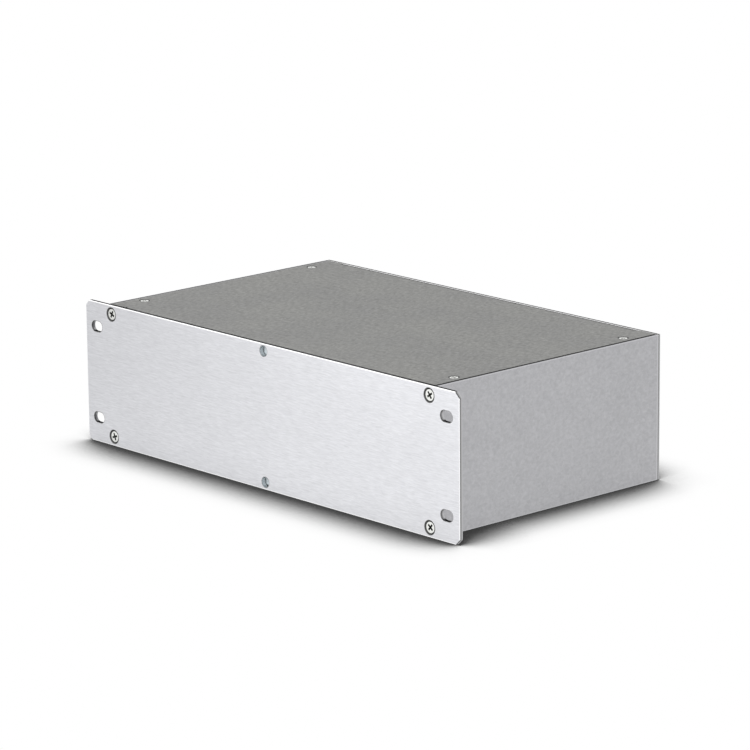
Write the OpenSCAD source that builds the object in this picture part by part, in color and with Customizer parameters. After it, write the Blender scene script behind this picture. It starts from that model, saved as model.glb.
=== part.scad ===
// Extruded aluminium enclosure with an eared front panel, for rack or desk use.
//
// Two side extrusions carry the whole case. Each has an outer wall, a ledge along
// its top and bottom for the sheet covers, a screw port in each corner for the end
// panels, and grooves on its inner face for circuit boards. The covers are folded
// sheets that drop between the walls and are screwed down onto the ledges. The
// front and rear panels close the ends and are screwed into the ports.
//
// Millimetres. The origin is at the middle of the underside, +X to the right seen
// from the front, +Y to the rear, +Z up.

/* [Front panel] */
// Width over the two ears
panel_w = 330; // [320:1:360]
// Height of the panels and of the side extrusions
case_h = 88; // [80:1:132]
// Thickness of the front panel
panel_t = 2.5; // [2.5:0.1:4]
// Leg of the chamfer across each corner of the front panel
panel_corner = 3.5; // [1:0.5:5]
// Length of a rack slot, end to end
slot_l = 10; // [8:0.5:12]
// Height of a rack slot
slot_h = 6.6; // [5.5:0.1:7]
// Distance between the slots of the two ears
slot_span_x = 309; // [308:0.5:310]
// Distance between the two slots of one ear
slot_span_z = 57.15; // [44:0.05:60]
// Diameter of the two plain holes on the panel's centre line
mid_hole_d = 6.3; // [4:0.1:6.5]
// Distance of the plain holes from the panel's top and bottom edges
mid_hole_inset = 4.5; // [4:0.1:6]

/* [Body] */
// Width over the two side extrusions
body_w = 290; // [250:1:292]
// Length of the side extrusions
side_l = 177; // [120:1:300]
// Thickness of the rear panel
rear_t = 2; // [2:0.1:4]
// Small bevel on every long edge that shows
arris = 0.3; // [0.1:0.1:0.4]

/* [Side extrusion] */
// Thickness of the outer wall
wall_t = 2; // [1.6:0.1:2.2]
// Width of a cover ledge, inwards from the wall
ledge_w = 12; // [10:0.5:16]
// Thickness of a cover ledge
ledge_t = 3.5; // [3:0.1:5]
// Distance of a screw port from the outer face
port_inset_x = 4.5; // [4.4:0.1:5]
// Distance of a screw port from the top or bottom edge
port_inset_z = 5.7; // [5.5:0.1:6.5]
// Outer diameter of the round boss about a screw port
port_boss_d = 6.8; // [6.2:0.1:7.4]
// Width of the mouth that leaves a screw port open to the inside
port_mouth = 1.8; // [1.2:0.1:2.4]
// Number of board grooves on each side
groove_count = 3; // [1:1:4]
// Clear width of a board groove
groove_gap = 2; // [1.6:0.1:2.4]
// Thickness of the two ribs beside a board groove
rib_t = 1.5; // [1:0.1:2]
// Depth of a board groove
rib_depth = 3; // [2:0.1:5]

/* [Covers] */
// Thickness of the cover sheet
sheet_t = 1.5; // [1.5:0.1:2]
// Gap between a cover and the walls beside it
side_gap = 0.4; // [0.2:0.1:0.8]
// Gap between a cover and the panels before and behind it
end_gap = 0.25; // [0.1:0.05:0.6]
// Height of the lip folded in at each end of a cover
lip_h = 12; // [8:0.5:20]
// Inside radius of the fold
fold_r = 0.8; // [0.5:0.1:1.5]
// Distance of a cover screw from the outer face of the side
cover_screw_x = 8.5; // [8.2:0.1:9.5]
// Distance of a cover screw from the end of the side extrusion
cover_screw_y = 20.5; // [15:0.5:40]

/* [Screws] */
// Thread diameter of the panel screws
panel_screw_d = 4; // [3.9:0.1:4]
// Head diameter of the panel screws
panel_head_d = 7.4; // [7:0.1:7.6]
// Overall length of the panel screws
panel_screw_l = 12; // [8:1:16]
// Thread diameter of the cover screws
cover_screw_d = 3; // [2.9:0.1:3]
// Head diameter of the cover screws
cover_head_d = 5.8; // [5.4:0.1:5.8]
// Overall length of the cover screws
cover_screw_l = 5; // [4:0.5:5]

/* [Hidden] */
$fn = 48;

panel_grey = [0.82, 0.82, 0.84];
side_grey = [0.68, 0.68, 0.70];
cover_grey = [0.57, 0.58, 0.56];
screw_grey = [0.75, 0.76, 0.74];

// Places along Y: the whole case is centred on the origin
case_d = panel_t + side_l + rear_t;
front_y = -case_d / 2;
side_y0 = front_y + panel_t;
side_y1 = side_y0 + side_l;
rear_y = side_y1 + rear_t;

// Places of the panel screws, which are the places of the ports
port_x = body_w / 2 - port_inset_x;
port_z = case_h / 2 - port_inset_z;

// Heights of the board grooves, from half way up
groove_v = [for (i = [1 : groove_count]) (i / (groove_count + 1) - 0.5) * case_h];

// Places of the cover screws
cover_hole_x = body_w / 2 - cover_screw_x;
cover_hole_y = side_l / 2 - cover_screw_y;

// Screw clearances
thread_play = 0.05;
front_sink_d = panel_head_d + 1;
rear_sink_d = panel_head_d + 0.5;
cover_sink_d = cover_head_d + 0.4;
panel_hole_d = panel_screw_d + 0.4;
cover_hole_d = cover_screw_d + 0.4;
eps = 0.1;

// Point reflections that repeat a feature at all four corners
corners = [for (x = [-1, 1], z = [-1, 1]) [x, z]];

// A plate standing in XZ from y = 0 to y = t, with its corners cut by a chamfer
// and a small bevel along all its straight edges.
module plate(w, h, t, corner, bevel) {
    intersection() {
        rotate([90, 0, 0])
            translate([0, 0, -t])
                linear_extrude(t)
                    cut_rectangle(w, h, corner);
        translate([0, t / 2, 0])
            linear_extrude(h + 2 * eps, center = true)
                cut_rectangle(w, t, bevel);
        rotate([0, 90, 0])
            translate([0, t / 2, 0])
                linear_extrude(w + 2 * eps, center = true)
                    cut_rectangle(h, t, bevel);
    }
}

// Rectangle about the origin with its four corners cut at 45 degrees
module cut_rectangle(w, h, cut) {
    x = w / 2;
    y = h / 2;
    polygon([[cut - x, -y], [x - cut, -y], [x, cut - y], [x, y - cut],
             [x - cut, y], [cut - x, y], [-x, y - cut], [-x, cut - y]]);
}

// Cutting tool for a countersunk hole through a plate of thickness t. The face
// is at z = 0 and the hole runs down to below z = -t.
module sunk_hole(sink_d, hole_d, t) {
    rotate_extrude()
        polygon([[0, eps], [sink_d / 2 + eps, eps], [hole_d / 2, (hole_d - sink_d) / 2],
                 [hole_d / 2, -t - eps], [0, -t - eps]]);
}

// Countersunk cross-recess screw. The head's face is at z = 0 and the tip at
// z = -l. The recess is two tapering wings that cross, turned by turn degrees.
module sunk_screw(d, head_d, l, turn) {
    r = d / 2 - thread_play;
    tip = d / 8;
    difference() {
        rotate_extrude()
            polygon([[0, 0], [head_d / 2, 0], [r, r - head_d / 2], [r, tip - l],
                     [r - tip, -l], [0, -l]]);
        for (a = [0, 90])
            rotate([0, 0, a + turn])
                recess_wing(0.58 * head_d, 0.15 * head_d, 0.28 * head_d);
    }
}

module recess_wing(span, width, depth) {
    rotate([90, 0, 0])
        linear_extrude(width, center = true)
            polygon([[-span / 2, eps], [span / 2, eps], [span / 2, 0],
                     [span / 5, -depth], [-span / 5, -depth], [-span / 2, 0]]);
}

// Section of the side extrusion. u = 0 is the outer face, u grows inwards, and
// v = 0 is half way up.
module side_section() {
    difference() {
        union() {
            translate([wall_t / 2, 0])
                cut_rectangle(wall_t, case_h, arris);
            for (m = [0, 1])
                mirror([0, m]) {
                    translate([wall_t - eps, case_h / 2 - sheet_t - ledge_t])
                        square([ledge_w + eps, ledge_t]);
                    translate([port_inset_x, port_z])
                        circle(d = port_boss_d);
                }
            for (v = groove_v)
                translate([wall_t - eps, v - groove_gap / 2 - rib_t])
                    square([rib_depth + eps, groove_gap + 2 * rib_t]);
        }
        for (v = groove_v)
            translate([wall_t, v - groove_gap / 2])
                square([rib_depth + eps, groove_gap]);
        for (m = [0, 1])
            mirror([0, m])
                translate([port_inset_x, port_z]) {
                    circle(d = panel_screw_d);
                    rotate(-45)
                        translate([0, -port_mouth / 2])
                            square([port_boss_d, port_mouth]);
                }
    }
}

// Left side: the section drawn out along Y, with tapped holes for the covers
module side_profile() {
    translate([-body_w / 2, side_y1, case_h / 2])
        difference() {
            rotate([90, 0, 0])
                linear_extrude(side_l)
                    side_section();
            for (m = [0, 1], y = [cover_screw_y, side_l - cover_screw_y])
                mirror([0, 0, m])
                    translate([cover_screw_x, -y, case_h / 2 - sheet_t])
                        tapped_hole();
        }
}

module tapped_hole() {
    lead_in = 0.3;
    rotate_extrude()
        polygon([[0, eps], [cover_screw_d / 2 + lead_in + eps, eps],
                 [cover_screw_d / 2, -lead_in], [cover_screw_d / 2, -ledge_t - 2 * lead_in],
                 [0, -ledge_t - 2 * lead_in]]);
}

// Section of a cover along the case: flat sheet with a lip folded down at each
// end. The outer face of the sheet is at v = 0.
module fold_section() {
    half = side_l / 2 - end_gap;
    difference() {
        fold_outline(half, lip_h, fold_r + sheet_t);
        translate([0, -sheet_t])
            fold_outline(half - sheet_t, lip_h, fold_r);
    }
}

// Downward tongue of half-width half with its two upper corners rounded
module fold_outline(half, h, r) {
    translate([-half, -h])
        square([2 * half, h - r]);
    translate([r - half, -h])
        square([2 * (half - r), h]);
    for (s = [-1, 1])
        translate([s * (half - r), -r])
            circle(r);
}

// Top cover. Its lips stop short of the ledges, and beside them the sheet stays
// flat to its end.
module cover() {
    flat_w = body_w - 2 * (wall_t + side_gap);
    lip_w = body_w - 2 * (wall_t + ledge_w + 1);
    flat_l = side_l - 2 * end_gap;
    edge_w = (flat_w - lip_w) / 2;
    translate([0, (side_y0 + side_y1) / 2, case_h])
        difference() {
            union() {
                rotate([90, 0, 90])
                    linear_extrude(lip_w, center = true)
                        fold_section();
                for (s = [-1, 1])
                    translate([s * (lip_w + edge_w) / 2, 0, -sheet_t / 2])
                        cube([edge_w, flat_l, sheet_t], center = true);
            }
            for (x = [-1, 1], y = [-1, 1])
                translate([x * cover_hole_x, y * cover_hole_y, 0])
                    sunk_hole(cover_sink_d, cover_hole_d, sheet_t);
        }
}

// Rack slot: a cutter with round ends, through a plate that starts at y = 0
module slot_cutter() {
    rotate([-90, 0, 0])
        translate([0, 0, -eps])
            linear_extrude(panel_t + 2 * eps) {
                for (s = [-1, 1])
                    translate([s * (slot_l - slot_h) / 2, 0])
                        circle(d = slot_h);
                square([slot_l - slot_h, slot_h], center = true);
            }
}

module front_panel() {
    color(panel_grey)
        translate([0, front_y, case_h / 2])
            difference() {
                plate(panel_w, case_h, panel_t, panel_corner, arris);
                for (c = corners) {
                    translate([c.x * slot_span_x / 2, 0, c.y * slot_span_z / 2])
                        slot_cutter();
                    translate([c.x * port_x, 0, c.y * port_z])
                        rotate([90, 0, 0])
                            sunk_hole(front_sink_d, panel_hole_d, panel_t);
                }
                for (s = [-1, 1])
                    translate([0, -eps, s * (case_h / 2 - mid_hole_inset)])
                        rotate([-90, 0, 0])
                            cylinder(d = mid_hole_d, h = panel_t + 2 * eps);
            }
}

module rear_panel() {
    color(panel_grey)
        translate([0, rear_y, case_h / 2])
            rotate([0, 0, 180])
                difference() {
                    plate(body_w, case_h, rear_t, arris, arris);
                    for (c = corners)
                        translate([c.x * port_x, 0, c.y * port_z])
                            rotate([90, 0, 0])
                                sunk_hole(rear_sink_d, panel_hole_d, rear_t);
                }
}

module left_side_profile() {
    color(side_grey) side_profile();
}

module right_side_profile() {
    color(side_grey) mirror([1, 0, 0]) side_profile();
}

module top_cover() {
    color(cover_grey) cover();
}

module bottom_cover() {
    color(cover_grey)
        translate([0, 0, case_h])
            mirror([0, 0, 1])
                cover();
}

// Four panel screws. Their heads sit below a face at y = 0 that looks to -Y, and
// each is turned as it happened to come tight.
module panel_screws(sink_d, turns) {
    for (i = [0 : 3])
        translate([corners[i].x * port_x, 0, corners[i].y * port_z])
            rotate([90, 0, 0])
                translate([0, 0, (panel_head_d - sink_d) / 2])
                    sunk_screw(panel_screw_d, panel_head_d, panel_screw_l, turns[i]);
}

module front_panel_screws() {
    color(screw_grey)
        translate([0, front_y, case_h / 2])
            panel_screws(front_sink_d, [20, 65, 50, 35]);
}

module rear_panel_screws() {
    color(screw_grey)
        translate([0, rear_y, case_h / 2])
            rotate([0, 0, 180])
                panel_screws(rear_sink_d, [10, 75, 30, 55]);
}

// Four cover screws, heads just below a face at z = 0 that looks up
module cover_screws(turns) {
    for (i = [0 : 3])
        translate([corners[i].x * cover_hole_x, corners[i].y * cover_hole_y,
                   (cover_head_d - cover_sink_d) / 2])
            sunk_screw(cover_screw_d, cover_head_d, cover_screw_l, turns[i]);
}

module top_cover_screws() {
    color(screw_grey)
        translate([0, (side_y0 + side_y1) / 2, case_h])
            cover_screws([15, 40, 70, 5]);
}

module bottom_cover_screws() {
    color(screw_grey)
        translate([0, (side_y0 + side_y1) / 2, 0])
            mirror([0, 0, 1])
                cover_screws([60, 25, 80, 45]);
}

front_panel();
rear_panel();
left_side_profile();
right_side_profile();
top_cover();
bottom_cover();
front_panel_screws();
rear_panel_screws();
top_cover_screws();
bottom_cover_screws();
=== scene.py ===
import math

import bpy
from mathutils import Matrix, Vector


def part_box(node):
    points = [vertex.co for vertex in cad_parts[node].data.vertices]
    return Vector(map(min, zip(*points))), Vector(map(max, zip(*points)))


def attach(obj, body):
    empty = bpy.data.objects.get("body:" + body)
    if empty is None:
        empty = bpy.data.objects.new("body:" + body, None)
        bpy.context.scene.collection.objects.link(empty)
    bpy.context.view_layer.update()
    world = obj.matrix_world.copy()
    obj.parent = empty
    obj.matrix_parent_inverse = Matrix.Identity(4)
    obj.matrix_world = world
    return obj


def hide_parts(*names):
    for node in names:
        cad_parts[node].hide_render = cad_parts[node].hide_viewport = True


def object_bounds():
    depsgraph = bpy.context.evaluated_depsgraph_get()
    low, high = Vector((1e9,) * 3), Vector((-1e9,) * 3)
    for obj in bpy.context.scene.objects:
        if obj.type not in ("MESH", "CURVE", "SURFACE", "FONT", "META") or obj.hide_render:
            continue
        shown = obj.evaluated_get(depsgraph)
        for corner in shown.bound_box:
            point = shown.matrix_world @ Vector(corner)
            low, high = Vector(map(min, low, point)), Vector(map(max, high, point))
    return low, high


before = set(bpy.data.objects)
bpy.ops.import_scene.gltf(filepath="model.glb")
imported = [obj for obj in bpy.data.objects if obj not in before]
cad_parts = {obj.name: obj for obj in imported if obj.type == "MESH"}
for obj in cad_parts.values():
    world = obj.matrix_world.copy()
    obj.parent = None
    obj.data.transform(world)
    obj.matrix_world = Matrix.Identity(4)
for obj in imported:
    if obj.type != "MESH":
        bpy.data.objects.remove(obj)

cad_low, cad_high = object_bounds()
bpy.ops.object.select_all(action="DESELECT")


# Camera
# A long lens a little above the case looks across its front right corner, and
# is tipped by half a degree.
EYE = Vector((1.7490, -1.5987, 0.6360))
LENS = 196.1
TURN = math.radians(47.626)
DIP = math.radians(13.809)
TIP = math.radians(-0.508)
FILM_WIDTH = 36
FARTHEST = 50

bpy.ops.object.camera_add(location=EYE)
camera = bpy.context.active_object
camera.name = "camera"
camera.rotation_euler = (
    Matrix.Rotation(TURN, 3, "Z")
    @ Matrix.Rotation(math.pi / 2 - DIP, 3, "X")
    @ Matrix.Rotation(TIP, 3, "Z")
).to_euler()
camera.data.lens = LENS
camera.data.sensor_width = FILM_WIDTH
camera.data.clip_end = FARTHEST
bpy.context.scene.camera = camera
bpy.context.scene.view_settings.view_transform = "Standard"


# Studio floor and light
# The case stands on a sheet of pale paper that runs out of sight into a white
# room. Where the case comes close to the paper, the paper carries a painted
# contact shadow from an occlusion ramp, weaker in what the metal mirrors. What
# the metal mirrors of the paper is also painted in shade that deepens to the left.
FLOOR_REACH = 8.0
FLOOR_GAP = 0.0001
PAPER = (0.9, 0.9, 0.9, 1)
WHITE = (1, 1, 1, 1)
CONTACT_REACH = 0.051
CONTACT_SAMPLES = 16
CONTACT_SHADE = (0.045, 0.045, 0.045, 1)
CONTACT_FOOT = 0.50
CONTACT_EDGE = 0.945
MIRRORED_LIFT = 0.85
LEFT_SHADE = 0.68
SHADE_FROM = -0.42
SHADE_TO = 0.02
ROOM_SEEN = 1.0
ROOM_LIGHT = 0.4


def add_node(tree, kind, **values):
    """A shader node with its settings and the plain values of its inputs."""
    node = tree.nodes.new(kind)
    for name, value in values.items():
        if hasattr(node, name):
            setattr(node, name, value)
        else:
            node.inputs[name.replace("_", " ")].default_value = value
    return node


def calc(tree, operation, *terms):
    """A math node. Its terms are sockets or plain numbers."""
    node = add_node(tree, "ShaderNodeMath", operation=operation)
    for place, term in zip(node.inputs, terms):
        if isinstance(term, (int, float)):
            place.default_value = term
        else:
            tree.links.new(term, place)
    return node.outputs[0]


def cover_with(tree, mask, under, over):
    """The colour over, where the mask is 1, on the colour under. Each is a socket or a colour."""
    node = add_node(tree, "ShaderNodeMix", data_type="RGBA")
    tree.links.new(mask, node.inputs["Factor"])
    colours = [place for place in node.inputs if place.type == "RGBA"]
    for place, colour in zip(colours, (under, over)):
        if isinstance(colour, tuple):
            place.default_value = (*colour, 1)
        else:
            tree.links.new(colour, place)
    return next(result for result in node.outputs if result.type == "RGBA")


def paper_material():
    """Paper seen and mirrored as white with a painted contact shadow; it lights the case as plain paper.
    """
    paper = bpy.data.materials.new("studio_paper")
    paper.use_nodes = True
    tree = paper.node_tree
    tree.nodes.clear()
    link = tree.links.new
    # The contact shadow is painted: an occlusion ramp darkens the paper's colour near the case.
    nearness = add_node(
        tree, "ShaderNodeAmbientOcclusion", samples=CONTACT_SAMPLES, Distance=CONTACT_REACH)
    tone = add_node(tree, "ShaderNodeValToRGB")
    tone.color_ramp.interpolation = "EASE"
    foot, edge = tone.color_ramp.elements
    foot.position = CONTACT_FOOT
    foot.color = CONTACT_SHADE
    edge.position = CONTACT_EDGE
    edge.color = WHITE
    link(nearness.outputs["AO"], tone.inputs["Fac"])
    place = add_node(tree, "ShaderNodeTexCoord")
    parts = add_node(tree, "ShaderNodeSeparateXYZ")
    link(place.outputs["Object"], parts.inputs[0])
    # Painted shade that deepens towards the left, in what the metal mirrors.
    shade = add_node(
        tree, "ShaderNodeMapRange", From_Min=SHADE_FROM, From_Max=SHADE_TO, To_Min=LEFT_SHADE)
    link(parts.outputs["X"], shade.inputs["Value"])
    path = add_node(tree, "ShaderNodeLightPath")
    lift = calc(tree, "MULTIPLY", path.outputs["Is Glossy Ray"], MIRRORED_LIFT)
    seen = add_node(tree, "ShaderNodeEmission")
    link(cover_with(tree, lift, tone.outputs["Color"], shade.outputs["Result"]), seen.inputs["Color"])
    plain = add_node(tree, "ShaderNodeBsdfDiffuse", Color=PAPER)
    choose = add_node(tree, "ShaderNodeMixShader")
    link(path.outputs["Is Diffuse Ray"], choose.inputs["Fac"])
    link(seen.outputs[0], choose.inputs[1])
    link(plain.outputs[0], choose.inputs[2])
    out = add_node(tree, "ShaderNodeOutputMaterial")
    link(choose.outputs[0], out.inputs["Surface"])
    return paper


bpy.ops.mesh.primitive_plane_add(size=2 * FLOOR_REACH, location=(0, 0, cad_low.z - FLOOR_GAP))
floor = bpy.context.active_object
floor.name = "studio_floor"
floor.data.materials.append(paper_material())

world = bpy.data.worlds.new("white_room")
bpy.context.scene.world = world
world.use_nodes = True
tree = world.node_tree
tree.nodes.clear()
path = add_node(tree, "ShaderNodeLightPath")
level = add_node(tree, "ShaderNodeMapRange", To_Min=ROOM_SEEN, To_Max=ROOM_LIGHT)
tree.links.new(path.outputs["Is Diffuse Ray"], level.inputs["Value"])
room = add_node(tree, "ShaderNodeBackground", Color=WHITE)
tree.links.new(level.outputs["Result"], room.inputs["Strength"])
sky = add_node(tree, "ShaderNodeOutputWorld")
tree.links.new(room.outputs[0], sky.inputs["Surface"])


def softbox(name, place, target, width, power):
    """A square lamp at a place, turned to a target. Its width is in metres, its power in watts."""
    bpy.ops.object.light_add(type="AREA", location=place)
    lamp = bpy.context.active_object
    lamp.name = name
    lamp.data.shape = "SQUARE"
    lamp.data.size = width
    lamp.data.energy = power
    aim = Vector(target) - Vector(place)
    lamp.rotation_euler = aim.to_track_quat("-Z", "Y").to_euler()


softbox(
    "front_softbox", place=(0.65, -0.85, 0.85), target=(0.17, -0.25, 0.0), width=0.9, power=2)
softbox(
    "left_softbox", place=(-1.3, -0.5, 1.3), target=(0, 0, 0.05), width=1.0, power=3)
softbox(
    "low_softbox", place=(-0.36, -0.75, 0.13), target=(0.15, -0.09, 0.044), width=0.2, power=0.85)


# Front and rear panels
# Flat plates sawn from brushed aluminium and anodised silver. The brush runs
# along the plate and leaves short hair lines. The sawn edges are painted dark as
# shade, most on level cuts and near the front face, and so are the countersinks
# and a thin ring round each hole. The small bevel round the outline, with a thin
# band of the face beside it, is painted light as a highlight.
PANEL_FACE = (0.698, 0.702, 0.727)
PANEL_BEVEL = 0.0003
# Sawn edges: painted dark as shade near the front face, lighter towards the back.
SAWN_FRONT_SHADE = (0.13, 0.13, 0.13)
SAWN_BACK = (0.50, 0.50, 0.51)
# Level sawn edges painted near black as shade.
SAWN_LEVEL_SHADE = (0.01, 0.01, 0.01)
# Countersink walls painted dark as shade.
SUNK_SHADE = (0.08, 0.08, 0.08)
MID_HOLE_WALL = (0.70, 0.74, 0.76)
# A thin ring of painted shade round each hole.
HOLE_RIM_SHADE = (0.22, 0.22, 0.22)
RIM_WIDTH = 0.0003
M4_HEAD = 0.0074
FRONT_SINK = 0.0084
REAR_SINK = 0.0079
EAR_SLOT = Vector((0.1545, 0, 0.028575))
SLOT_STRAIGHT = 0.0017
SLOT_ROUND = 0.0033
MID_HOLE = Vector((0, 0, 0.0395))
MID_HOLE_ROUND = 0.00315
SAWN_FADE = 0.0014
SAWN_MIDDLE = 0.4
# Painted highlights on the outline's bevel and a thin band of the face beside it.
FRONT_ARRIS_HIGHLIGHT = (0.97, 0.97, 0.98)
REAR_ARRIS_HIGHLIGHT = (0.60, 0.60, 0.60)
DULL_TINT = (0.5, 0.5, 0.5, 1)
GRAIN_HEIGHT = 0.0001
ROUGHNESS_RANGE = 0.2
FACE_FROM = 0.95
ARRIS_FROM = 0.35
LEVEL_FROM = 0.75
LEVEL_FULL = 0.95
WALL_PLAY = 0.00004
NO_EDGE = -1


def vector_calc(tree, operation, first, second=None):
    """A vector math node on one or two sockets."""
    node = add_node(tree, "ShaderNodeVectorMath", operation=operation)
    tree.links.new(first, node.inputs[0])
    if second:
        tree.links.new(second, node.inputs[1])
    return node


def grain_group():
    """The grain of a sheet. Streak is the size of one hair line along X, Y and Z."""
    group = bpy.data.node_groups.new("metal_grain", "ShaderNodeTree")
    group.interface.new_socket("Streak", in_out="INPUT", socket_type="NodeSocketVector")
    for name in ("Tone", "Fine", "Cloud"):
        group.interface.new_socket(name, in_out="OUTPUT", socket_type="NodeSocketFloat")
    start = add_node(group, "NodeGroupInput")
    end = add_node(group, "NodeGroupOutput")
    place = add_node(group, "ShaderNodeTexCoord")
    scaled = vector_calc(group, "DIVIDE", place.outputs["Object"], start.outputs["Streak"])
    streaks = add_node(group, "ShaderNodeTexNoise", Scale=1.0, Detail=2.0, Roughness=0.65, Distortion=0.6)
    hairs = add_node(group, "ShaderNodeTexNoise", Scale=3.5, Detail=2.0, Roughness=0.6)
    clouds = add_node(group, "ShaderNodeTexNoise", Scale=30.0, Detail=1.0)
    group.links.new(scaled.outputs["Vector"], streaks.inputs["Vector"])
    group.links.new(scaled.outputs["Vector"], hairs.inputs["Vector"])
    group.links.new(place.outputs["Object"], clouds.inputs["Vector"])
    group.links.new(streaks.outputs["Fac"], end.inputs["Tone"])
    group.links.new(hairs.outputs["Fac"], end.inputs["Fine"])
    group.links.new(clouds.outputs["Fac"], end.inputs["Cloud"])
    return group


def cut_group():
    """Masks for a sheet whose shown face looks along Axis: its faces, the arris of the
    shown face, outside the box Centre and Reach, level cuts, and the way through it."""
    group = bpy.data.node_groups.new("sheet_cuts", "ShaderNodeTree")
    for name in ("Axis", "Centre", "Reach"):
        group.interface.new_socket(name, in_out="INPUT", socket_type="NodeSocketVector")
    for name in ("Face", "Arris", "Level", "Through"):
        group.interface.new_socket(name, in_out="OUTPUT", socket_type="NodeSocketFloat")
    start = add_node(group, "NodeGroupInput")
    end = add_node(group, "NodeGroupOutput")
    place = add_node(group, "ShaderNodeTexCoord")
    along = vector_calc(group, "DOT_PRODUCT", place.outputs["Normal"], start.outputs["Axis"])
    square = calc(group, "ABSOLUTE", along.outputs["Value"])
    face = calc(group, "GREATER_THAN", square, FACE_FROM)
    turned = calc(group, "GREATER_THAN", along.outputs["Value"], ARRIS_FROM)
    offset = vector_calc(group, "SUBTRACT", place.outputs["Object"], start.outputs["Centre"])
    distance = vector_calc(group, "ABSOLUTE", offset.outputs["Vector"])
    beyond = vector_calc(group, "SUBTRACT", distance.outputs["Vector"], start.outputs["Reach"])
    sides = add_node(group, "ShaderNodeSeparateXYZ")
    group.links.new(beyond.outputs["Vector"], sides.inputs[0])
    furthest = calc(group, "MAXIMUM", sides.outputs["X"], sides.outputs["Y"])
    outline = calc(group, "GREATER_THAN", calc(group, "MAXIMUM", furthest, sides.outputs["Z"]), 0.0)
    parts = add_node(group, "ShaderNodeSeparateXYZ")
    group.links.new(place.outputs["Normal"], parts.inputs[0])
    level = add_node(group, "ShaderNodeMapRange", From_Min=LEVEL_FROM, From_Max=LEVEL_FULL)
    group.links.new(calc(group, "ABSOLUTE", parts.outputs["Z"]), level.inputs["Value"])
    group.links.new(face, end.inputs["Face"])
    group.links.new(calc(group, "MULTIPLY", turned, outline), end.inputs["Arris"])
    group.links.new(level.outputs["Result"], end.inputs["Level"])
    through = vector_calc(group, "DOT_PRODUCT", offset.outputs["Vector"], start.outputs["Axis"])
    group.links.new(through.outputs["Value"], end.inputs["Through"])
    return group


def hole_group():
    """Masks for holes that lie mirrored about Centre, at Place from it, in the sheet's
    Plane: what is inside the outline, and the rim of the given Width round it."""
    group = bpy.data.node_groups.new("sheet_holes", "ShaderNodeTree")
    for name in ("Centre", "Place", "Plane"):
        group.interface.new_socket(name, in_out="INPUT", socket_type="NodeSocketVector")
    for name in ("Straight", "Round", "Width"):
        group.interface.new_socket(name, in_out="INPUT", socket_type="NodeSocketFloat")
    for name in ("Inside", "Rim"):
        group.interface.new_socket(name, in_out="OUTPUT", socket_type="NodeSocketFloat")
    start = add_node(group, "NodeGroupInput")
    end = add_node(group, "NodeGroupOutput")
    place = add_node(group, "ShaderNodeTexCoord")
    offset = vector_calc(group, "SUBTRACT", place.outputs["Object"], start.outputs["Centre"])
    quarter = vector_calc(group, "ABSOLUTE", offset.outputs["Vector"])
    beside = vector_calc(group, "SUBTRACT", quarter.outputs["Vector"], start.outputs["Place"])
    apart = vector_calc(group, "ABSOLUTE", beside.outputs["Vector"])
    flat = vector_calc(group, "MULTIPLY", apart.outputs["Vector"], start.outputs["Plane"])
    parts = add_node(group, "ShaderNodeSeparateXYZ")
    group.links.new(flat.outputs["Vector"], parts.inputs[0])
    past = calc(group, "SUBTRACT", parts.outputs["X"], start.outputs["Straight"])
    joined = add_node(group, "ShaderNodeCombineXYZ")
    group.links.new(calc(group, "MAXIMUM", past, 0.0), joined.inputs["X"])
    group.links.new(parts.outputs["Y"], joined.inputs["Y"])
    group.links.new(parts.outputs["Z"], joined.inputs["Z"])
    length = vector_calc(group, "LENGTH", joined.outputs[0])
    distance = calc(group, "SUBTRACT", length.outputs["Value"], start.outputs["Round"])
    inside = calc(group, "LESS_THAN", distance, WALL_PLAY)
    near = calc(group, "LESS_THAN", distance, start.outputs["Width"])
    group.links.new(inside, end.inputs["Inside"])
    group.links.new(calc(group, "SUBTRACT", near, inside), end.inputs["Rim"])
    return group


metal_grain = grain_group()
sheet_cuts = cut_group()
sheet_holes = hole_group()


def grained(tree, grain, colour, streaks, clouds):
    """The colour made lighter and darker by the grain's streaks and clouds."""
    streak = calc(tree, "MULTIPLY_ADD", grain.outputs["Tone"], streaks, 1 - streaks / 2)
    cloud = calc(tree, "MULTIPLY_ADD", grain.outputs["Cloud"], clouds, 1 - clouds / 2)
    tint = add_node(tree, "ShaderNodeVectorMath", operation="SCALE")
    if isinstance(colour, tuple):
        tint.inputs["Vector"].default_value = colour
    else:
        tree.links.new(colour, tint.inputs["Vector"])
    tree.links.new(calc(tree, "MULTIPLY", streak, cloud), tint.inputs["Scale"])
    return tint.outputs["Vector"]


def new_metal(name, streak, roughness, relief, tint=DULL_TINT):
    """A metal with the grain's roughness and relief. Its colour is still to be linked."""
    metal = bpy.data.materials.new(name)
    metal.use_nodes = True
    tree = metal.node_tree
    shader = tree.nodes["Principled BSDF"]
    shader.inputs["Metallic"].default_value = 1.0
    shader.inputs["Specular Tint"].default_value = tint
    grain = add_node(tree, "ShaderNodeGroup", node_tree=metal_grain)
    grain.inputs["Streak"].default_value = streak
    smoothest = roughness - ROUGHNESS_RANGE / 2
    rough = calc(tree, "MULTIPLY_ADD", grain.outputs["Fine"], ROUGHNESS_RANGE, smoothest)
    tree.links.new(rough, shader.inputs["Roughness"])
    bump = add_node(tree, "ShaderNodeBump", Strength=relief, Distance=GRAIN_HEIGHT)
    tree.links.new(grain.outputs["Fine"], bump.inputs["Height"])
    tree.links.new(bump.outputs["Normal"], shader.inputs["Normal"])
    return metal, tree, shader, grain


def cuts_of(tree, node, axis, margin=(NO_EDGE, NO_EDGE, NO_EDGE)):
    """The masks of a CAD node. Its outline is what lies within the margin of its box, and
    a direction without an edge has the margin NO_EDGE."""
    low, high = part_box(node)
    cuts = add_node(tree, "ShaderNodeGroup", node_tree=sheet_cuts)
    cuts.inputs["Axis"].default_value = axis
    cuts.inputs["Centre"].default_value = (low + high) / 2
    cuts.inputs["Reach"].default_value = (high - low) / 2 - Vector(margin)
    return cuts


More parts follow.
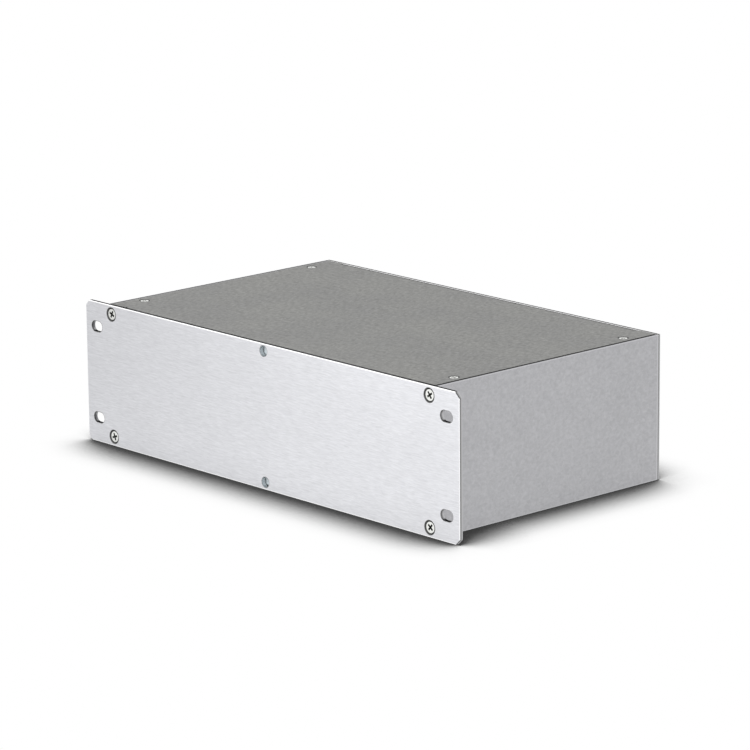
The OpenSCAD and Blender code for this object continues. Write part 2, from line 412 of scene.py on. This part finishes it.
def cut_holes(tree, node, colour, plane, place, straight, radius, wall):
    """The colour with a painted dark ring of shade round these holes, and their walls in this colour if
    any.
    """
    low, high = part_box(node)
    holes = add_node(tree, "ShaderNodeGroup", node_tree=sheet_holes)
    holes.inputs["Centre"].default_value = (low + high) / 2
    holes.inputs["Place"].default_value = place
    holes.inputs["Plane"].default_value = plane
    holes.inputs["Straight"].default_value = straight
    holes.inputs["Round"].default_value = radius
    holes.inputs["Width"].default_value = RIM_WIDTH
    if wall:
        colour = cover_with(tree, holes.outputs["Inside"], colour, wall)
    return cover_with(tree, holes.outputs["Rim"], colour, HOLE_RIM_SHADE)


def corner_places(node, head):
    """Where a node's four screws stand, measured from the middle of its box."""
    low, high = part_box(node)
    return (high - low) / 2 - Vector((head, head, head)) / 2


def dress(node, metal):
    """The CAD node shown in this metal."""
    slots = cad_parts[node].data.materials
    slots.clear()
    slots.append(metal)


def brushed_panel(node, arris, screw_sink, plain_holes):
    """A panel's finish. Each plain hole is a place, a straight length, a radius and a wall."""
    metal, tree, shader, grain = new_metal(
        "brushed_" + node, streak=(0.0065, 0.001, 0.0007), roughness=0.42, relief=0.12)
    cuts = cuts_of(tree, node, (0, -1, 0), (1.5 * PANEL_BEVEL, NO_EDGE, 2 * PANEL_BEVEL))
    face = grained(tree, grain, PANEL_FACE, streaks=0.40, clouds=0.05)
    # The sawn edges are painted dark as shade near the front and on level cuts; the arris gets a painted
    # highlight.
    front = calc(tree, "MULTIPLY_ADD", cuts.outputs["Through"], 1 / SAWN_FADE, SAWN_MIDDLE)
    colour = cover_with(tree, front, SAWN_BACK, SAWN_FRONT_SHADE)
    colour = cover_with(tree, cuts.outputs["Level"], colour, SAWN_LEVEL_SHADE)
    colour = cover_with(tree, cuts.outputs["Face"], colour, face)
    colour = cover_with(tree, cuts.outputs["Arris"], colour, arris)
    upright = (1, 0, 1)
    screws = (corner_places(node + "_screws", M4_HEAD), 0, screw_sink / 2, SUNK_SHADE)
    for place, straight, radius, wall in (screws, *plain_holes):
        colour = cut_holes(tree, node, colour, upright, place, straight, radius, wall)
    tree.links.new(colour, shader.inputs["Base Color"])
    dress(node, metal)


brushed_panel("front_panel", FRONT_ARRIS_HIGHLIGHT, FRONT_SINK, plain_holes=(
    (EAR_SLOT, SLOT_STRAIGHT, SLOT_ROUND, None),
    (MID_HOLE, 0, MID_HOLE_ROUND, MID_HOLE_WALL)))
brushed_panel("rear_panel", REAR_ARRIS_HIGHLIGHT, REAR_SINK, plain_holes=())


# Side extrusions
# Aluminium pressed through a die, cut to length and anodised satin. Its fine grain
# is drawn out a little along the wall. Its narrow rims are painted dark as shade,
# and the arris round its outer face is painted light as a highlight.
SATIN_FACE = (0.467, 0.467, 0.482)
# Painted highlight on the arris.
SATIN_ARRIS_HIGHLIGHT = (0.56, 0.56, 0.58)
# Painted shade on the narrow rims.
SATIN_RIM_SHADE = (0.05, 0.05, 0.05)


def satin_extrusion(node, outward):
    """A side's finish. The arris round its outer face has a painted highlight, and its narrow rims
    painted shade.
    """
    metal, tree, shader, grain = new_metal(
        "satin_" + node, streak=(0.0018, 0.0024, 0.0018), roughness=0.5, relief=0.1)
    cuts = cuts_of(tree, node, (outward, 0, 0), (NO_EDGE, 2 * PANEL_BEVEL, 2 * PANEL_BEVEL))
    face = grained(tree, grain, SATIN_FACE, streaks=0.42, clouds=0.08)
    colour = cover_with(tree, cuts.outputs["Level"], face, SATIN_RIM_SHADE)
    colour = cover_with(tree, cuts.outputs["Arris"], colour, SATIN_ARRIS_HIGHLIGHT)
    tree.links.new(colour, shader.inputs["Base Color"])
    dress(node, metal)


satin_extrusion("left_side_profile", outward=-1)
satin_extrusion("right_side_profile", outward=1)


# Covers
# Aluminium sheet brushed fine and matt, a warmer and darker grey than the panels,
# part of that darkness being painted shade. Each is cut, folded at both ends and
# countersunk. Its bends are painted dark as shade, its folded lips bright as if lit.
# The sheet's greys are partly painted shade.
COVER_COOL = (0.365, 0.365, 0.362)
COVER_WARM = (0.372, 0.372, 0.357)
# The bends are painted dark as shade.
COVER_BEND_SHADE = (0.08, 0.08, 0.08)
# The folded lips are painted bright as if lit.
COVER_LIP_LIGHT = (0.64, 0.68, 0.70)
BEND_HEIGHT = 0.0022
M3_HEAD = 0.0058
COVER_SINK = 0.0062


def cover_sheet(node, outward):
    """A cover's finish. Its bends are painted dark as shade, its folded lips painted bright as if lit."""
    metal, tree, shader, grain = new_metal(
        node + "_sheet", streak=(0.0016, 0.003, 0.0016), roughness=0.5, relief=0.2)
    cuts = cuts_of(tree, node, (0, 0, outward))
    low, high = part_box(node)
    lip = calc(tree, "LESS_THAN", cuts.outputs["Through"], (high.z - low.z) / 2 - BEND_HEIGHT)
    folded = cover_with(tree, lip, COVER_BEND_SHADE, COVER_LIP_LIGHT)
    sheet = cover_with(tree, grain.outputs["Cloud"], COVER_COOL, COVER_WARM)
    sheet = grained(tree, grain, sheet, streaks=1.05, clouds=0.12)
    colour = cover_with(tree, cuts.outputs["Level"], folded, sheet)
    screws = corner_places(node + "_screws", M3_HEAD)
    colour = cut_holes(tree, node, colour, (1, 1, 0), screws, 0, COVER_SINK / 2, SUNK_SHADE)
    tree.links.new(colour, shader.inputs["Base Color"])
    dress(node, metal)


cover_sheet("top_cover", outward=1)
cover_sheet("bottom_cover", outward=-1)


# Screws
# Countersunk machine screws with a cross recess, M4 in the panels and M3 in the
# covers. Steel wire is headed cold, its thread is rolled, and it is nickel
# plated. Each stands turned as it happened to come tight.
SCREW_SIDES = 24
RINGS_A_TURN = 6
THREAD_PLAY = 0.00005
RIM_ROUND = 0.0004
TIP_SHARE = 0.125
THREAD_SHARE = 0.61
FLANK_TOP = 1.35
FLANK_FALL = 1.6
CROSS_SPAN = 0.62
CROSS_WIDTH = 0.17
CROSS_DEPTH = 0.28
CROSS_FOOT = 0.45
POINT_DEPTH = 0.5
POINT_RISE = 0.05
SKIN = 0.1
SMOOTH_UP_TO = math.radians(35)
NICKEL = (0.88, 0.89, 0.86)
# The recess colours are painted shade, in the cross and on the head's rim.
PANEL_RECESS_SHADE = (0.07, 0.075, 0.07)
COVER_RECESS_SHADE = (0.50, 0.505, 0.49)
GLOSSY_TINT = (1, 1, 1, 1)


def nickel_plate(name, colour, roughness):
    """Nickel of this colour, or a darker colour painted as the shade of a recess."""
    metal, tree, shader, grain = new_metal(
        name, streak=(0.002, 0.002, 0.002), roughness=roughness, relief=0.1, tint=GLOSSY_TINT)
    tree.links.new(grained(tree, grain, colour, streaks=0.15, clouds=0.0), shader.inputs["Base Color"])
    return metal


nickel = nickel_plate("nickel_screw", NICKEL, roughness=0.27)
# Painted shade for the recesses of the crosses.
panel_recess_shade = nickel_plate("panel_screw_recess_shade", PANEL_RECESS_SHADE, roughness=0.45)
cover_recess_shade = nickel_plate("cover_screw_recess_shade", COVER_RECESS_SHADE, roughness=0.45)


def select_where(piece, test):
    """In edit mode, selects the faces whose middle passes the test."""
    bpy.ops.object.mode_set(mode="OBJECT")
    for face in piece.data.polygons:
        face.select = test(face.center)
    bpy.ops.object.mode_set(mode="EDIT")


def extrude_to(depth, width):
    """Draws the selected end out by depth along Z and brings it to this share of its width."""
    bpy.ops.mesh.extrude_region_move(TRANSFORM_OT_translate={"value": (0, 0, depth)})
    bpy.ops.transform.resize(value=(width, width, 1))


def recess_wing(span, width, depth):
    """A tapering blade that stands in the head's face and cuts one arm of the cross."""
    bpy.ops.mesh.primitive_cube_add(size=1, location=(0, 0, depth / 2))
    blade = bpy.context.active_object
    blade.scale = (span, width, depth)
    bpy.ops.object.transform_apply(location=True, scale=True)
    bpy.ops.object.mode_set(mode="EDIT")
    bpy.ops.mesh.select_mode(type="FACE")
    bpy.ops.mesh.select_all(action="DESELECT")
    select_where(blade, lambda middle: middle.z < SKIN * depth)
    extrude_to(-depth, CROSS_FOOT)
    bpy.ops.object.mode_set(mode="OBJECT")
    return blade


def cut_away(piece, cutter, finish):
    """Cuts the cutter out of the piece and leaves the cut faces in this finish."""
    cutter.data.materials.append(finish)
    cut = piece.modifiers.new("cut", "BOOLEAN")
    cut.operation = "DIFFERENCE"
    cut.solver = "EXACT"
    cut.material_mode = "TRANSFER"
    cut.object = cutter
    bpy.context.view_layer.objects.active = piece
    bpy.ops.object.modifier_apply(modifier=cut.name)
    bpy.data.objects.remove(cutter)


def thread_depth(place, start, end, pitch):
    """Depth of the rolled thread at a point of the shank: none at its crest and ends."""
    turn = math.atan2(place.y, place.x) / (2 * math.pi)
    phase = (place.z / pitch - turn) % 1
    flank = min(max(FLANK_TOP - abs(2 * phase - 1) * FLANK_FALL, 0.0), 1.0)
    run_out = min(max((start - place.z) / pitch, 0.0), 1.0, max((place.z - end) / pitch, 0.0))
    return THREAD_SHARE * pitch * flank * run_out


def model_screw(thread, head, length, pitch, recess):
    """One screw at the origin, with its head's face level at the top and its tip below.
    The rim of the head is broken all round, and painted dark as shade. The cross is painted in shade of
    its own."""
    shank = thread / 2 - THREAD_PLAY
    cone = head / 2 - shank
    tip = thread * TIP_SHARE
    bpy.ops.mesh.primitive_circle_add(vertices=2 * SCREW_SIDES, radius=head / 2, fill_type="NGON")
    screw = bpy.context.active_object
    bpy.ops.object.mode_set(mode="EDIT")
    bpy.ops.mesh.select_mode(type="FACE")
    bpy.ops.mesh.select_all(action="SELECT")
    extrude_to(-cone, 2 * shank / head)
    rings = round((length - cone - tip) / pitch * RINGS_A_TURN)
    for ring in range(rings):
        extrude_to(-(length - cone - tip) / rings, 1)
    extrude_to(-tip, 1 - tip / shank)
    bpy.ops.mesh.select_all(action="SELECT")
    bpy.ops.mesh.normals_make_consistent(inside=False)
    bpy.ops.mesh.select_all(action="DESELECT")
    select_where(screw, lambda middle: middle.z > -SKIN * RIM_ROUND)
    bpy.ops.mesh.select_mode(type="EDGE")
    bpy.ops.mesh.bevel(offset=RIM_ROUND, segments=1, affect="EDGES")
    bpy.ops.object.mode_set(mode="OBJECT")
    screw.data.materials.append(nickel)
    screw.data.materials.append(panel_recess_shade)
    # The head's rim is painted dark as shade.
    for face in screw.data.polygons:
        if -RIM_ROUND < face.center.z < -SKIN * RIM_ROUND:
            face.material_index = 1
    for point in screw.data.vertices:
        if tip - length < point.co.z < -cone:
            radius = shank - thread_depth(point.co, -cone, tip - length, pitch)
            point.co.xy *= radius / shank
    for span, width in ((CROSS_SPAN, CROSS_WIDTH), (CROSS_WIDTH, CROSS_SPAN)):
        cut_away(screw, recess_wing(span * head, width * head, CROSS_DEPTH * head), recess)
    bpy.ops.mesh.primitive_cone_add(
        vertices=SCREW_SIDES, radius1=0, radius2=CROSS_WIDTH * head,
        depth=POINT_DEPTH * head, location=(0, 0, -POINT_RISE * head))
    cut_away(screw, bpy.context.active_object, recess)
    screw.select_set(True)
    bpy.ops.object.shade_smooth_by_angle(angle=SMOOTH_UP_TO)
    return screw


def fit_screws(model, name, node, head, outward, turns):
    """Copies of the screw in the four corners of their node's box, heads looking outward."""
    low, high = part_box(node)
    outward = Vector(outward)
    face = high if sum(outward) > 0 else low
    facing = Vector((0, 0, 1)).rotation_difference(outward).to_matrix().to_4x4()
    across = [axis for axis in range(3) if outward[axis] == 0]
    corners = [(first, second) for first in (-1, 1) for second in (-1, 1)]
    for number, (corner, turn) in enumerate(zip(corners, turns), start=1):
        place = face.copy()
        for axis, side in zip(across, corner):
            middle = (low[axis] + high[axis]) / 2
            reach = (high[axis] - low[axis]) / 2 - head / 2
            place[axis] = middle + side * reach
        screw = model.copy()
        screw.data = model.data.copy()
        twist = Matrix.Rotation(math.radians(turn), 4, "Z")
        screw.data.transform(Matrix.Translation(place) @ facing @ twist)
        screw.name = f"{name}_{number}"
        bpy.context.collection.objects.link(screw)
        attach(screw, "root")
        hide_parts(node)


m4_screw = model_screw(thread=0.004, head=M4_HEAD, length=0.012, pitch=0.0007, recess=panel_recess_shade)
fit_screws(m4_screw, "front_panel_screw", "front_panel_screws", M4_HEAD, (0, -1, 0), (20, 65, 50, 35))
fit_screws(m4_screw, "rear_panel_screw", "rear_panel_screws", M4_HEAD, (0, 1, 0), (10, 75, 30, 55))
bpy.data.objects.remove(m4_screw)
m3_screw = model_screw(thread=0.003, head=M3_HEAD, length=0.005, pitch=0.0005, recess=cover_recess_shade)
fit_screws(m3_screw, "top_cover_screw", "top_cover_screws", M3_HEAD, (0, 0, 1), (15, 40, 70, 5))
fit_screws(m3_screw, "bottom_cover_screw", "bottom_cover_screws", M3_HEAD, (0, 0, -1), (60, 25, 80, 45))
bpy.data.objects.remove(m3_screw)
